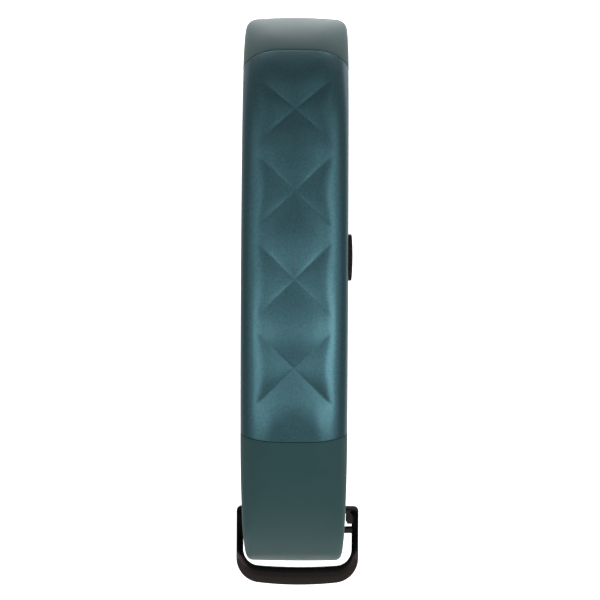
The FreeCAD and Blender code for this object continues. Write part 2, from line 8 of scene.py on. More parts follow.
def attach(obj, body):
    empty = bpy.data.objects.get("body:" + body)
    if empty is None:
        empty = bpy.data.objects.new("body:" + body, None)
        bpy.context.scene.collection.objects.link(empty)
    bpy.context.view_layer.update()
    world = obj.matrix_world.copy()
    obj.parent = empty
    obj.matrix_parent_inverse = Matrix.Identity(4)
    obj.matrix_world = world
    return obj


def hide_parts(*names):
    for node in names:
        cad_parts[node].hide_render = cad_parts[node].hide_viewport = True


# The looks of the fitness tracker band. Sizes are in millimetres up to make_mesh, which turns them to
# metres. A place on the band is a turn (the direction that the outside faces, in degrees: 0 front,
# 90 top, 180 back, -90 bottom), a depth below the outer line, and X across the band.

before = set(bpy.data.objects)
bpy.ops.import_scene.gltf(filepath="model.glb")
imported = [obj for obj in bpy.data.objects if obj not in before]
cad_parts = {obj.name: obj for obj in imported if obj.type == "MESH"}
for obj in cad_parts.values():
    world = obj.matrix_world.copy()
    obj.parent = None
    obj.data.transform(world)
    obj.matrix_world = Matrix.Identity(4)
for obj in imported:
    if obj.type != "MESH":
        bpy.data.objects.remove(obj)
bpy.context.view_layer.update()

MM = 0.001

# ---------------------------------------------------------------- driving sizes, as in the frame
FRONT_Y = -29.5
ARC_TURNS = (24.0, 90.0, 135.0)
FRONT_RADIUS = 48.0
SHOULDER_RADIUS = 21.0
END_RADIUS = 26.4
ARC_SOFTNESS = 16.0        # degrees over which one arc's radius eases into the next
LINE_TURNS = (-180.0, 280.0, 0.05)      # first turn, last turn and step of the outer line's table
# turns at which the eased line is laid back on its arcs
MID_ARC_TURNS = (-180.0, -150.0, -112.0, -57.0, 0.0, 57.0, 112.0, 180.0, 248.0, 279.0)

MODULE_LOW = -21.55
MODULE_HIGH = 51.7
MODULE_HALF_WIDTH = 6.1
MODULE_THICK = 9.3
MODULE_LOW_THICK = 6.6
MODULE_HIGH_THICK = 6.2
SHOULDER_ROUND = 2.7
SHOULDER_REACH = 1.5       # a shoulder's rounding is this many times as wide as it is deep
STRAP_REACH = 1.0          # the same for the thin part of a strap
SKIN_ROUND = 1.5
CROWN = 0.3
COVER_WALL = 0.6
COVER_THINNING = (1.0, 4.0)             # depths over which the inner face's drop fades out
HOUSING_WALL = 0.8
SPLIT_DEPTH = 5.3
GASKET_THICK = 0.25

COVER_LOW_SEAM = 0.07      # seams at the tracker's two ends, as degrees left open
COVER_HIGH_SEAM = 0.17
LOW_SEAM = 0.08
HIGH_SEAM = 0.2
COVER_LIP = 0.03           # rounding of a piece's ends
LIP = 0.06
COVER_STEP = 0.113         # distances between cross-sections
HOUSING_STEP = 0.4
LOWER_STRAP_STEP = 0.45
UPPER_STRAP_STEP = 0.5
SHARP_EDGE = 38.0          # degrees from which an edge is shaded as an edge

STRAP_THICK = 2.4
INNER_STRAP_THICK = 2.2
STRAP_GAP = 0.15
STRAP_ROUND = 0.74         # a little tighter than the frame's
STRAP_SKIN_ROUND = 0.8
STRAP_HALF_WIDTH = 5.45
NARROWING_SPAN = 2.2       # a strap narrows over this many times the run that it thins over
LOWER_CROWN = 0.08
UPPER_CROWN = 0.3
LOWER_THIN_TURN = -62.0
UPPER_THIN_TURN = 102.0
TUCK_START = 110.0
TUCK_END = 203.0
TAIL_TURN = -153.0
TIP_SPAN = 6.0
TIP_NARROWING = 3.0
LUG_SEAM_TURN = 264.0
NOTCH_PITCH = 3.6
NOTCH_COUNT = 9
NOTCH_TURN = -83.1
NOTCH_LENGTH = 1.4
NOTCH_HALF_WIDTH = 1.7
NOTCH_FLOOR = 1.5
NOTCH_WALL = 0.04          # the length that a notch's end wall takes
KEEPER_TURN = -145.0
KEEPER_WALL = 0.6
KEEPER_PLAY = 0.25
KEEPER_LIFT = 1.3          # how much taller the loop's middle line is than the two straps
KEEPER_CORNER = 1.1
KEEPER_HALF_LENGTH = 1.8
KEEPER_FLATNESS = (0.6, 0.25)           # powers of the section's curve through its wall and along it

CLASP_TURN = -75.0
PIN_DEPTH = 3.3
FRAME_SHIFT = 0.42         # the frame's side play, taken up to the right
FRAME_HALF_WIDTH = 7.12
FRAME_ARM = 0.8
FRAME_DEEP = 1.5
FRAME_BELOW = 6.45         # below and above the pin
FRAME_ABOVE = 2.8
FRAME_LOW_BAR = 2.05
FRAME_TOP_BAR = 0.9
FRAME_LOW_ROUND = 2.9
FRAME_HIGH_ROUND = 0.6
FRAME_LOW_BOW = 40.0       # radius of the bowed lower edge
FRAME_OPENING_ROUND = 1.9
FRAME_OPENING_HIGH_ROUND = 0.5
FRAME_OPENING_BOW = 60.0
FRAME_EDGE = 0.12          # rounding of the section's edges
FRAME_BEVEL = 0.42         # along the opening's front edge
FRAME_COLUMNS = 32         # points round the frame's section
HOOK_SIDE = FRAME_SHIFT + FRAME_HALF_WIDTH - FRAME_ARM
HOOK_DEEP = 0.9
# x from the inside of the frame's right arm, and height above the pin
HOOK_OUTLINE = ((0.3, 2.0), (-0.68, 2.0), (-0.7, 1.1), (-0.5, 0.7), (-0.05, 0.68), (0.3, 0.9))

BUTTON_TURN = 4.7
BUTTON_DEPTH = 4.05
BUTTON_HEIGHT = 1.8
BUTTON_REACH = 1.775       # half the button's straight length
WELL_DEPTH = 0.14          # the shallow well round the button
WELL_MARGIN = 0.04
WELL_EDGE = 0.2

# ---------------------------------------------------------------- the quilted relief of the cover
QUILT_FIRST = -9.2         # lowest crossing, along the cover from its front-most point
QUILT_PITCH = 10.2
QUILT_COUNT = 4
CREASE_LEVEL = 0.46        # the creases lie this far below the middle of the cover's face
PILLOW_WIDTH = 3.6
SIDE_PILLOW_WIDTH = 4.5
GROOVE_DEPTH = 0.045       # the thin groove along the bottom of each crease
GROOVE_WIDTH = 0.19
RELIEF_BLEND = 0.16        # softness of the relief's end, where the cover's shoulders drop away
LIGHT_DOTS = ((-0.22, 2.2), (0.22, 2.2), (0.0, 1.75), (0.0, 6.5))    # light holes: x and length
LIGHT_DOT_RADIUS = 0.14
LIGHT_DOT_EDGE = 0.12
LIGHT_DOT_SHARE = 0.5      # how much of a marked spot its fine drillings fill


# ================================================================ the band's outer line
def line_table():
    """The outer line as a table: turn, length along it, y and z. It starts at the front-most point and
    adds up radius times the step in turn, along the direction (sin turn, cos turn). The radius eases
    from each arc's to the next, and a slow shift then lays the line back on the tangent arcs in the
    middle of each."""
    turn = np.arange(*LINE_TURNS)
    folded = np.abs((turn + 180.0) % 360.0 - 180.0)
    step_in = FRONT_RADIUS - SHOULDER_RADIUS
    first = math.radians(ARC_TURNS[0])
    shoulder = (FRONT_Y + FRONT_RADIUS - step_in * math.cos(first), step_in * math.sin(first))
    end_z = shoulder[1] + SHOULDER_RADIUS - END_RADIUS
    back_step = end_z / math.sin(math.radians(ARC_TURNS[2]))
    back_y = shoulder[0] + back_step * math.cos(math.radians(ARC_TURNS[2]))
    radii = (FRONT_RADIUS, SHOULDER_RADIUS, END_RADIUS, END_RADIUS + back_step)
    radius = np.full(turn.shape, radii[0])
    for joint, before, after in zip(ARC_TURNS, radii, radii[1:]):
        radius += (after - before) * ease((folded - joint) / ARC_SOFTNESS + 0.5)
    step = np.radians(np.gradient(turn)) * radius
    length = np.cumsum(step)
    y = np.cumsum(step * np.sin(np.radians(turn)))
    z = np.cumsum(step * np.cos(np.radians(turn)))
    front = np.argmin(np.abs(turn))
    length = length - length[front]
    y = y - y[front] + FRONT_Y
    z = z - z[front]
    side = np.where((turn + 180.0) % 360.0 - 180.0 < 0, -1.0, 1.0)
    bands = [folded <= ARC_TURNS[0], folded <= ARC_TURNS[1], folded <= ARC_TURNS[2]]
    centre_y = np.select(bands, [FRONT_Y + FRONT_RADIUS, shoulder[0], shoulder[0]], back_y)
    centre_z = np.select(bands, [0.0, shoulder[1], end_z], 0.0) * side
    exact = np.select(bands, radii[:3], radii[3])
    off_y = centre_y - exact * np.cos(np.radians(turn)) - y
    off_z = centre_z + exact * np.sin(np.radians(turn)) - z
    y += np.interp(turn, MID_ARC_TURNS, np.interp(MID_ARC_TURNS, turn, off_y))
    z += np.interp(turn, MID_ARC_TURNS, np.interp(MID_ARC_TURNS, turn, off_z))
    return turn, length, y, z


def ease(share):
    """Smooth step from 0 to 1: 3 t squared less 2 t cubed, with t held between 0 and 1."""
    share = np.clip(share, 0.0, 1.0)
    return share * share * (3.0 - 2.0 * share)


LINE_TURN, LINE_LENGTH, LINE_Y, LINE_Z = line_table()


def place(turn, depth, x):
    """Points at a turn, a depth and x: the outer line's point, less depth times its outward normal
    (-cos turn, sin turn) in y and z."""
    turn, depth, x = np.broadcast_arrays(turn, depth, x)
    angle = np.radians(turn)
    y = np.interp(turn, LINE_TURN, LINE_Y) + depth * np.cos(angle)
    z = np.interp(turn, LINE_TURN, LINE_Z) - depth * np.sin(angle)
    return np.stack([x, y, z], axis=-1)


def length_at(turn):
    """Length along the outer line at a turn, from its front-most point."""
    return np.interp(turn, LINE_TURN, LINE_LENGTH)


def turn_at(length):
    """The turn at a length along the outer line."""
    return np.interp(length, LINE_LENGTH, LINE_TURN)


def stations(low, high, step, lip, extra=()):
    """Turns of the cross-sections from one end to the other, as a column. They are evenly spaced along
    the outer line, with six close ones over each rounded end and any extra ones. Also gives how far
    each is drawn in: lip times (1 - square root of (1 - t squared)), with t from 0 where the rounding
    starts to 1 at the end."""
    start, stop = length_at(low), length_at(high)
    count = max(2, int(round((stop - start - 2 * lip) / step)))
    middle = np.linspace(start + lip, stop - lip, count + 1)
    share = np.sin(np.linspace(0.0, math.pi / 2, 7)[1:])
    length = np.concatenate([start + lip * (1 - share[::-1]), middle, stop - lip * (1 - share), extra])
    length = np.unique(length)
    from_end = np.minimum(length - start, stop - length)
    into = np.clip(1 - from_end / lip, 0.0, 1.0)
    drawn_in = lip * (1 - np.sqrt(1 - into ** 2))
    return turn_at(length)[:, None], drawn_in[:, None]


# ================================================================ meshes
def make_mesh(name, points, faces, material, body, slot, replaced=()):
    """A piece from an array of points in millimetres and arrays of faces. Faces are turned outwards by
    the sign of the closed volume, the sum of each face fan's triple products."""
    volume = 0.0
    for group in faces:
        group = np.asarray(group)
        for k in range(1, group.shape[1] - 1):
            a, b, c = points[group[:, 0]], points[group[:, k]], points[group[:, k + 1]]
            volume += np.einsum("ij,ij->", a, np.cross(b, c))
    order = -1 if volume < 0 else 1
    corners = [face[::order] for group in faces for face in np.asarray(group).tolist()]
    mesh = bpy.data.meshes.new(name)
    mesh.from_pydata((points * MM).tolist(), [], corners)
    mesh.polygons.foreach_set("use_smooth", np.ones(len(mesh.polygons), bool))
    mesh.set_sharp_from_angle(angle=math.radians(SHARP_EDGE))
    mesh.update()
    piece = bpy.data.objects.new(name, mesh)
    bpy.context.scene.collection.objects.link(piece)
    mesh.materials.append(material)
    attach(piece, body)
    if replaced:
        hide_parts(*replaced)
    return piece


def grid_faces(rows, columns, wrap_rows=False):
    """Four-sided faces between neighbouring rows and columns. Columns close on themselves."""
    index = np.arange(rows * columns).reshape(rows, columns)
    if wrap_rows:
        index = np.vstack([index, index[:1]])
    across = np.roll(index, -1, axis=1)
    return np.stack([index[:-1], index[1:], across[1:], across[:-1]], axis=-1).reshape(-1, 4)


def swept(name, turn, x, depth, **facts):
    """A closed solid through cross-sections: rows of x and depth at the turns, with a flat face on the
    first and on the last."""
    points = place(turn, depth, x)
    rows, columns = points.shape[:2]
    first = np.arange(columns)[None, ::-1]
    last = first[:, ::-1] + (rows - 1) * columns
    return make_mesh(name, points.reshape(-1, 3), [grid_faces(rows, columns), first, last], **facts)


def drawn(x, depth, amount):
    """A cross-section drawn in by an amount, against its outward normal. The section runs clockwise,
    and its normal is square to the step from the point before to the point after."""
    step_x = np.roll(x, -1, axis=1) - np.roll(x, 1, axis=1)
    step_depth = np.roll(depth, -1, axis=1) - np.roll(depth, 1, axis=1)
    size = np.maximum(np.hypot(step_x, step_depth), 1e-9)
    return x - amount * step_depth / size, depth + amount * step_x / size


# ================================================================ cross-sections
def module_inner(turn):
    """Depth of the tracker's skin side: eased from each end's thickness to the middle's."""
    middle = (MODULE_LOW + MODULE_HIGH) / 2.0
    from_low = ease((turn - MODULE_LOW) / (middle - MODULE_LOW))
    from_high = ease((MODULE_HIGH - turn) / (MODULE_HIGH - middle))
    low = MODULE_LOW_THICK + (MODULE_THICK - MODULE_LOW_THICK) * from_low
    high = MODULE_HIGH_THICK + (MODULE_THICK - MODULE_HIGH_THICK) * from_high
    return np.where(turn < middle, low, high)


def outside_half(outer, half, top, reach, crown, flat, corner):
    """The right half of a section's outside, from the middle to where the side wall starts: a parabola
    of the crown's rise, then the same with a quarter ellipse added, as deep as top and as wide as
    reach."""
    run = np.linspace(0.0, 1.0, flat)[None, :] * (half - reach)
    angle = np.linspace(0.0, math.pi / 2, corner + 1)[None, 1:]
    x = np.concatenate([run, half - reach + reach * np.sin(angle)], axis=1)
    drop = np.concatenate([np.zeros_like(run), top * (1 - np.cos(angle))], axis=1)
    return x, outer + crown * (x / half) ** 2 + drop


def skin_corner(half, inner, low, start, side, corner):
    """Side wall and rounded corner of the skin side, from a start depth to the flat: the wall stands at
    the half width, and the corner is the rest of a quarter circle from where the start depth meets
    it."""
    wall_end = np.maximum(inner - low, start)
    wall = start + (wall_end - start) * np.linspace(0.0, 1.0, side)[None, :]
    begin = np.arcsin(np.clip((start - (inner - low)) / low, 0.0, 1.0))
    angle = begin + (math.pi / 2 - begin) * np.linspace(0.0, 1.0, corner + 1)[None, 1:]
    wall_x = half - low * (1 - np.cos(begin)) + 0.0 * wall
    x = np.concatenate([wall_x, half - low * (1 - np.cos(angle))], axis=1)
    depth = np.concatenate([wall, inner - low * (1 - np.sin(angle))], axis=1)
    return x, depth


def skin_run(flat_half):
    """x of the points across the right half of a flat skin side, from its corner to the middle. A
    close pair stands at the notches' half width."""
    inside = NOTCH_HALF_WIDTH * np.array([1.01, 0.99, 0.66, 0.33, 0.0])[None, :]
    share = np.linspace(1.0, 0.0, 7)[None, 1:-1]
    outside = inside[:, :1] + (flat_half - inside[:, :1]) * share
    return np.concatenate([outside, inside + 0.0 * flat_half], axis=1)


def strap_section(outer, thick, half, top, reach, low, crown, flat=14, corner=12, side=5):
    """A strap's closed section: crowned outside, round corners, side walls and a flat skin side."""
    out_x, out_depth = outside_half(outer, half, top, reach, crown, flat, corner)
    start = outer + crown + top
    in_x, in_depth = skin_corner(half, outer + thick, low, start, side, corner)
    run = skin_run(half - low)
    skin_depth = outer + thick + 0.0 * run
    right_x = np.concatenate([out_x[:, 1:], in_x[:, 1:], run[:, :-1]], axis=1)
    right_depth = np.concatenate([out_depth[:, 1:], in_depth[:, 1:], skin_depth[:, :-1]], axis=1)
    x = [out_x[:, :1], right_x, run[:, -1:], -right_x[:, ::-1]]
    depth = [out_depth[:, :1], right_depth, skin_depth[:, -1:], right_depth[:, ::-1]]
    return np.concatenate(x, axis=1), np.concatenate(depth, axis=1)


def strap_sizes(turn, root, thin, thick_root, outer, thickness, crown):
    """Outer depth, thickness, half width, roundings (depth and reach outside, then the skin side's) and
    crown of a strap along its turns."""
    share = ease((turn - root) / (thin - root))
    slow = ease((turn - root) / (NARROWING_SPAN * (thin - root)))
    half = MODULE_HALF_WIDTH + (STRAP_HALF_WIDTH - MODULE_HALF_WIDTH) * slow
    thick = thick_root + (thickness - thick_root) * share
    top = SHOULDER_ROUND + (STRAP_ROUND - SHOULDER_ROUND) * share
    reach = top * (SHOULDER_REACH + (STRAP_REACH - SHOULDER_REACH) * share)
    low = SKIN_ROUND + (STRAP_SKIN_ROUND - SKIN_ROUND) * share
    return outer, thick, half, top, reach, low, CROWN + (crown - CROWN) * share


# ================================================================ material helpers
def colour(code):
    """An sRGB hex colour as linear red, green, blue and alpha."""
    parts = [int(code[i:i + 2], 16) / 255.0 for i in (0, 2, 4)]
    return [p / 12.92 if p <= 0.04045 else ((p + 0.055) / 1.055) ** 2.4 for p in parts] + [1.0]


def add(tree_of, kind, inputs, **settings):
    """Adds a node to a material or world, with its settings. An input is a value or another node's
    output, under the input's name, or its number where two have one name."""
    node = tree_of.node_tree.nodes.new(kind)
    for name, value in settings.items():
        setattr(node, name, value)
    for name, value in inputs.items():
        if isinstance(value, bpy.types.NodeSocket):
            tree_of.node_tree.links.new(value, node.inputs[name])
        else:
            node.inputs[name].default_value = value
    return node


LOW_TONE, HIGH_TONE, MIXED = 6, 7, 2    # a colour mix's two colour inputs and its colour output


def new_material(name):
    """An empty material, and its pattern coordinates in millimetres on the piece."""
    material = bpy.data.materials.new(name)
    material.use_nodes = True
    material.node_tree.nodes.clear()
    place_on = add(material, "ShaderNodeTexCoord", {})
    scaled = add(material, "ShaderNodeMapping", {
        "Vector": place_on.outputs["Object"], "Scale": (1 / MM,) * 3})
    return material, scaled.outputs["Vector"]


def finish_material(material, normal, **inputs):
    """Principled surface with the given inputs, joined to the output."""
    named = {name.replace("_", " "): value for name, value in inputs.items()}
    surface = add(material, "ShaderNodeBsdfPrincipled", {**named, "Normal": normal})
    add(material, "ShaderNodeOutputMaterial", {"Surface": surface.outputs["BSDF"]})
    return material


def anodised_aluminium():
    """Aluminium, bead-blasted and dyed teal by anodising: a satin metal with a fine sparkling grain
    under a clear sealed layer. The blast's pits are about 0.1 mm, drawn at 0.2 mm so that they show.
    The light holes are dull reddish dots."""
    material, at = new_material("anodised_aluminium")
    grain = add(material, "ShaderNodeTexNoise", {"Vector": at, "Scale": 1 / 0.2, "Detail": 2.0})
    cloud = add(material, "ShaderNodeTexNoise", {"Vector": at, "Scale": 1 / 6.0, "Detail": 1.0})
    speck = add(material, "ShaderNodeMapRange", {
        "Value": grain.outputs["Fac"], "To Min": -0.5, "To Max": 1.5})
    tone = add(material, "ShaderNodeMix", {
        "Factor": speck.outputs["Result"], LOW_TONE: colour("3F6B76"), HIGH_TONE: colour("4E808A")},
        data_type="RGBA")
    dots = add(material, "ShaderNodeAttribute", {}, attribute_name="light_holes")
    marked = add(material, "ShaderNodeMix", {
        "Factor": dots.outputs["Fac"], LOW_TONE: tone.outputs[MIXED], HIGH_TONE: colour("5A3F46")},
        data_type="RGBA")
    polish = add(material, "ShaderNodeMapRange", {
        "Value": cloud.outputs["Fac"], "To Min": 0.30, "To Max": 0.35})
    bump = add(material, "ShaderNodeBump", {
        "Height": grain.outputs["Fac"], "Strength": 0.5, "Distance": 0.01 * MM})
    return finish_material(
        material, bump.outputs["Normal"], Base_Color=marked.outputs[MIXED], Metallic=1.0,
        Roughness=polish.outputs["Result"], Coat_Weight=0.6, Coat_Roughness=0.3)


def moulded_elastomer():
    """Thermoplastic elastomer, moulded against a fine spark-eroded face: matte, soft at grazing light,
    with faint dull patches from handling. The texture's grain is about 0.12 mm."""
    material, at = new_material("moulded_elastomer")
    grain = add(material, "ShaderNodeTexNoise", {"Vector": at, "Scale": 1 / 0.12, "Detail": 3.0})
    patches = add(material, "ShaderNodeTexNoise", {
        "Vector": at, "Scale": 1 / 4.0, "Detail": 4.0, "Roughness": 0.6})
    tone = add(material, "ShaderNodeMix", {
        "Factor": patches.outputs["Fac"], LOW_TONE: colour("284B4D"), HIGH_TONE: colour("305356")},
        data_type="RGBA")
    matte = add(material, "ShaderNodeMapRange", {
        "Value": patches.outputs["Fac"], "To Min": 0.5, "To Max": 0.65})
    bump = add(material, "ShaderNodeBump", {
        "Height": grain.outputs["Fac"], "Strength": 0.25, "Distance": 0.02 * MM})
    return finish_material(
        material, bump.outputs["Normal"], Base_Color=tone.outputs[MIXED], Specular_IOR_Level=0.18,
        Roughness=matte.outputs["Result"], Sheen_Weight=0.4, Sheen_Roughness=0.5,
        Sheen_Tint=colour("CFE3E1"))


def coated_steel():
    """Stainless steel with a dark bronze vapour-deposited coating: a smooth deep brown metal, with soft
    highlights along its edges and hair-fine polishing marks 0.15 mm apart."""
    material, at = new_material("bronze_coated_steel")
    stretched = add(material, "ShaderNodeMapping", {"Vector": at, "Scale": (0.2, 1.0, 1.0)})
    marks = add(material, "ShaderNodeTexNoise", {
        "Vector": stretched.outputs["Vector"], "Scale": 1 / 0.15})
    tone = add(material, "ShaderNodeMix", {
        "Factor": marks.outputs["Fac"], LOW_TONE: colour("2B2422"), HIGH_TONE: colour("352C29")},
        data_type="RGBA")
    polish = add(material, "ShaderNodeMapRange", {
        "Value": marks.outputs["Fac"], "To Min": 0.24, "To Max": 0.34})
    bump = add(material, "ShaderNodeBump", {
        "Height": marks.outputs["Fac"], "Strength": 0.1, "Distance": 0.01 * MM})
    return finish_material(
        material, bump.outputs["Normal"], Base_Color=tone.outputs[MIXED], Metallic=1.0,
        Roughness=polish.outputs["Result"], Coat_Weight=0.5, Coat_Roughness=0.12)


def grained(name, low, high, roughness, grain_mm, relief, **extra):
    """Two close tones and a grain of the given size, which shows in colour, roughness and bump."""
    material, at = new_material(name)
    grain = add(material, "ShaderNodeTexNoise", {"Vector": at, "Scale": 1 / grain_mm, "Detail": 3.0})
    tone = add(material, "ShaderNodeMix", {
        "Factor": grain.outputs["Fac"], LOW_TONE: colour(low), HIGH_TONE: colour(high)},
        data_type="RGBA")
    polish = add(material, "ShaderNodeMapRange", {
        "Value": grain.outputs["Fac"], "To Min": roughness - 0.05, "To Max": roughness + 0.05})
    bump = add(material, "ShaderNodeBump", {
        "Height": grain.outputs["Fac"], "Strength": relief, "Distance": 0.01 * MM})
    return finish_material(material, bump.outputs["Normal"], Base_Color=tone.outputs[MIXED],
                           Roughness=polish.outputs["Result"], **extra)


def metal(*facts):
    """A plain worked metal."""
    return grained(*facts, relief=0.1, Metallic=1.0)


def moulding(*facts, **extra):
    """A plain moulded, cast or rolled plastic or rubber."""
    return grained(*facts, relief=0.2, **extra)


ANODISED = anodised_aluminium()
ELASTOMER = moulded_elastomer()
BRONZE = coated_steel()

# The plain finishes: name, two tones, roughness and the size of the grain in millimetres.
# moulded nylon with glass fibres: near black and dull
HOUSING = moulding("glass_filled_nylon", "1C2526", "242E30", 0.55, 0.1)
# soft moulded rubber: black and dull
SILICONE = moulding("black_silicone", "0C0C0C", "141414", 0.6, 0.2)
# machined aluminium, dyed dark: a brown-black satin
BUTTON = metal("dark_anodised_button", "2A2927", "353432", 0.35, 0.15)
# polished sheet: bright and nearly mirror-like
ELECTRODE = metal("polished_stainless", "B9B8B5", "C8C7C5", 0.18, 0.3)
# plated pins: warm yellow and bright
GOLD = metal("gold_plating", "D9B45C", "E3C377", 0.22, 0.2)
# drawn wire: grey, with a light sheen
WIRE = metal("drawn_spring_steel", "8D8E90", "9EA0A2", 0.3, 0.1)
# stamped sheet: plain grey satin
SHEET_STEEL = metal("stamped_stainless", "A3A5A6", "B3B5B6", 0.35, 0.25)
# blackened steel: dark grey satin
BLACK_STEEL = metal("black_oxide_steel", "3A3A3B", "48484A", 0.4, 0.1)
# lacquer on a board: green and glossy
SOLDER_MASK = moulding("green_solder_mask", "0E4A2C", "145A37", 0.3, 0.4, Coat_Weight=0.4)
# moulded epoxy: near black and matte
EPOXY = moulding("chip_epoxy", "17181A", "1F2022", 0.5, 0.08)
# tinned sheet: pale grey satin
TIN_CAN = metal("tinned_shield", "B0B2B4", "C0C2C4", 0.28, 0.5)
# pressed aluminium foil: pale grey and soft
POUCH = metal("battery_foil", "B8BABF", "CACCD0", 0.4, 0.8)
# cast film: amber and glossy
POLYIMIDE = moulding("polyimide_film", "9A5A18", "AD6A22", 0.25, 0.5, Coat_Weight=0.5)
# plated copper: orange satin
COPPER = metal("plated_copper", "C0784A", "CF8A5C", 0.3, 0.2)
# moulded acrylic with a white filler: pale and faintly see-through
DIFFUSER = moulding("milky_acrylic", "DCDEE0", "E8EAEC", 0.3, 0.4, Transmission_Weight=0.4)
# plated magnets: warm grey and bright
NICKEL = metal("nickel_plating", "B4B3AE", "C2C1BC", 0.15, 0.3)


# ================================================================ the cover
def quilt(length, x):
    """How far a point lies down in the relief, from 0 on top of a pillow to 1 in a crease, and the
    same for the thin groove along each crease. Two families of creases run at 45 degrees, where
    length + x or length - x is a crossing's place. At a distance d from a crease, each family gives
    (1 - d / width) squared, and the two join as 1 - (1 - a) (1 - b). The side pillows, which lie
    further across than along from the nearest crossing, are wider. The groove is exp(-d / width)."""
    crossings = QUILT_FIRST + QUILT_PITCH * np.arange(QUILT_COUNT)

    def to_crossing(along):
        return np.min(np.abs(along[..., None] - crossings), axis=-1)

    rising = to_crossing(length + x) / math.sqrt(2)
    falling = to_crossing(length - x) / math.sqrt(2)
    beside = np.abs(x) > to_crossing(length)
    width = np.where(beside, SIDE_PILLOW_WIDTH, PILLOW_WIDTH)
    pillow = [np.clip(1 - gap / width, 0, 1) ** 2 for gap in (rising, falling)]
    groove = np.exp(-np.minimum(rising, falling) / GROOVE_WIDTH)
    return 1 - (1 - pillow[0]) * (1 - pillow[1]), groove


def button_well(length, depth):
    """How far the side wall is let in round the button: a shallow stadium-shaped well, from its
    distance to the button's middle line, with an eased edge."""
    middle = length_at(BUTTON_TURN)
    along = np.clip(length, middle - BUTTON_REACH, middle + BUTTON_REACH)
    gap = np.hypot(length - along, depth - BUTTON_DEPTH) - BUTTON_HEIGHT / 2.0
    return WELL_DEPTH * (1 - ease((gap - WELL_MARGIN) / WELL_EDGE))


def top_cover():
    """The cover: quilted face, round shoulders, side walls down to the split, and an inner face one
    wall below. The creases all lie at one depth. Where the face itself is at depth a, the relief
    takes it a share of the way down from a to there, and it fades out softly as a nears that depth."""
    turn, lip = stations(
        MODULE_LOW + COVER_LOW_SEAM, MODULE_HIGH - COVER_HIGH_SEAM, COVER_STEP, COVER_LIP)
    inner = module_inner(turn)
    out_x, out_depth = outside_half(
        0.0, MODULE_HALF_WIDTH, SHOULDER_ROUND, SHOULDER_REACH * SHOULDER_ROUND, CROWN,
        flat=31, corner=34)
    out_x = out_x + 0.0 * turn
    out_depth = out_depth + 0.0 * turn
    wall_start = CROWN + SHOULDER_ROUND
    wall = wall_start + (SPLIT_DEPTH - wall_start) * np.linspace(0, 1, 15)[None, 1:] + 0.0 * turn
    bend = np.clip((wall - (inner - SKIN_ROUND)) / SKIN_ROUND, 0.0, 1.0)
    wall_x = MODULE_HALF_WIDTH - SKIN_ROUND * (1 - np.sqrt(1 - bend ** 2))
    left_x = np.concatenate([out_x, wall_x], axis=1)
    well = button_well(length_at(turn) + 0.0 * wall, wall)
    right_x = np.concatenate([out_x, wall_x - well], axis=1)
    face = np.concatenate([out_depth, wall], axis=1)
    relief, groove = quilt(length_at(turn) + 0.0 * face, right_x)
    room = RELIEF_BLEND * np.log1p(np.exp((CREASE_LEVEL - face) / RELIEF_BLEND))
    depth = face + room * (relief + GROOVE_DEPTH / CREASE_LEVEL * groove)
    inner_x = left_x[:, ::4] * (1 - COVER_WALL / MODULE_HALF_WIDTH)
    thin_from, thin_to = COVER_THINNING
    thinning = ease((face[:, ::4] - thin_from) / (thin_to - thin_from))
    inner_depth = face[:, ::4] + COVER_WALL * (1 - thinning)
    round_x = np.concatenate([-left_x[:, :0:-1], right_x, inner_x[:, ::-1], -inner_x[:, 1:]], axis=1)
    round_depth = [depth[:, :0:-1], depth, inner_depth[:, ::-1], inner_depth[:, 1:]]
    round_x, round_depth = drawn(round_x, np.concatenate(round_depth, axis=1), lip)
    piece = swept("quilted_cover", turn, round_x, round_depth, material=ANODISED, body="band",
                  slot="anodised_cover", replaced=["top_cover"])
    add_light_holes(piece, turn, round_x)


def add_light_holes(piece, turn, x):
    """Marks the light holes on the cover as an attribute: the holes' share within a hole's radius of
    its middle, easing to 0 beyond. Each hole is a spot of finer drillings."""
    length = length_at(turn) + 0.0 * x
    share = np.zeros_like(length)
    for across, along in LIGHT_DOTS:
        gap = np.hypot(length - along, x - across) - LIGHT_DOT_RADIUS
        share = np.maximum(share, LIGHT_DOT_SHARE * (1 - ease(gap / LIGHT_DOT_EDGE + 0.5)))
    holes = piece.data.attributes.new("light_holes", "FLOAT", "POINT")
    holes.data.foreach_set("value", share.ravel())


# ================================================================ rear housing
def rear_housing():
    """The skin-side shell: side walls from the gasket down, round corners, a flat skin face, and an
    inner face one wall above it."""
    turn, lip = stations(MODULE_LOW + LOW_SEAM, MODULE_HIGH - HIGH_SEAM, HOUSING_STEP, LIP)
    inner = module_inner(turn)
    start = SPLIT_DEPTH + GASKET_THICK + 0.0 * turn
    side_x, side_depth = skin_corner(
        MODULE_HALF_WIDTH, inner, SKIN_ROUND, start, side=6, corner=12)
    run = (MODULE_HALF_WIDTH - SKIN_ROUND) * np.linspace(1.0, 0.0, 14)[None, 1:] + 0.0 * turn
    right_x = np.concatenate([side_x, run], axis=1)
    right_depth = np.concatenate([side_depth, inner + 0.0 * run], axis=1)
    x = np.concatenate([right_x, -right_x[:, -2::-1]], axis=1)
    depth = np.concatenate([right_depth, right_depth[:, -2::-1]], axis=1)
    back_x = x[:, ::-1] * (1 - HOUSING_WALL / MODULE_HALF_WIDTH)
    back_depth = start + (depth[:, ::-1] - start) * (1 - HOUSING_WALL / (inner - start))
    x = np.concatenate([x, back_x], axis=1)
    depth = np.concatenate([depth, back_depth], axis=1)
    x, depth = drawn(x, depth, lip)
    swept("skin_side_housing", turn, x, depth, material=HOUSING, body="band", slot="housing_plastic",
          replaced=["rear_housing"])


